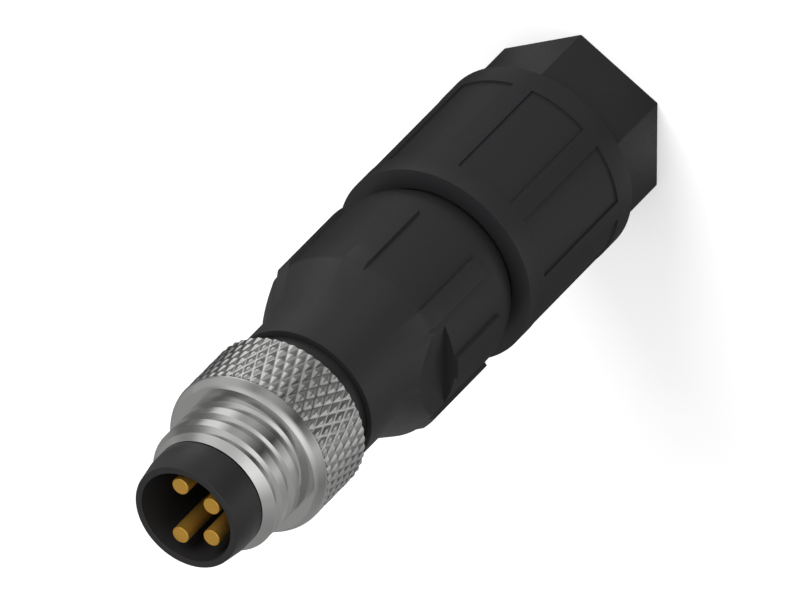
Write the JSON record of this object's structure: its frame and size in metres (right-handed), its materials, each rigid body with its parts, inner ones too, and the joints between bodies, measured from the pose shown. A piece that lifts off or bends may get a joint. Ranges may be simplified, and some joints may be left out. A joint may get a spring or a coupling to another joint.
{
  "type": "circular cable connector",
  "caption": "Straight field-wired cable plug of 8 mm thread size: black gland cap and ribbed sleeve, knurled metal lock ring, black shroud round gold pins.",
  "frame": {"origin": "centre of the gland cap's flat rear face, on the plug's axis", "axes": "+Z along the axis from the cable end to the pins, +X through one hexagon flat and the gap side of the near pin pair, +Y through a hexagon corner"},
  "size_m": [0.0126, 0.0126, 0.0429],
  "materials": {
    "black_plastic": "fine matt moulding",
    "insert_plastic": "smooth matt moulding",
    "ring_metal": "nickel plated, turned",
    "gold_contact": "gold plated",
    "screw_steel": "plain",
    "seal_rubber": "matt",
    "cage_plastic": "smooth"
  },
  "bodies": {
    "housing": {"body_sleeve": "black_plastic", "terminal_block": "insert_plastic", "contact_carrier": "insert_plastic", "friction_washer": "insert_plastic", "contact_pin_1": "gold_contact", "contact_pin_2": "gold_contact", "contact_pin_3": "gold_contact", "contact_pin_4": "gold_contact", "terminal_screw_1": "screw_steel", "terminal_screw_2": "screw_steel", "terminal_screw_3": "screw_steel", "terminal_screw_4": "screw_steel", "cap_seal": "seal_rubber", "front_seal": "seal_rubber"},
    "clamp": {"clamp_cage": "cage_plastic", "cable_seal": "seal_rubber"},
    "cap": {"gland_cap": "black_plastic"},
    "ring": {"lock_ring": "ring_metal"}
  },
  "joints": [
    {"name": "lock_ring_spin", "type": "hinge", "parent": "housing", "child": "ring", "pos_m": [0, 0, 0.036], "axis": [0, 0, 1], "continuous": true},
    {"name": "cap_travel", "type": "slide", "parent": "housing", "child": "clamp", "axis": [0, 0, -1], "range_m": [0, 0.0039]},
    {"name": "cap_turn", "type": "hinge", "parent": "clamp", "child": "cap", "pos_m": [0, 0, 0.008], "axis": [0, 0, -1], "range_deg": [0, 1405]}
  ],
  "couplings": [
    {"joint": "cap_turn", "follows": "cap_travel", "rad_per_m": 6283.2}
  ]
}
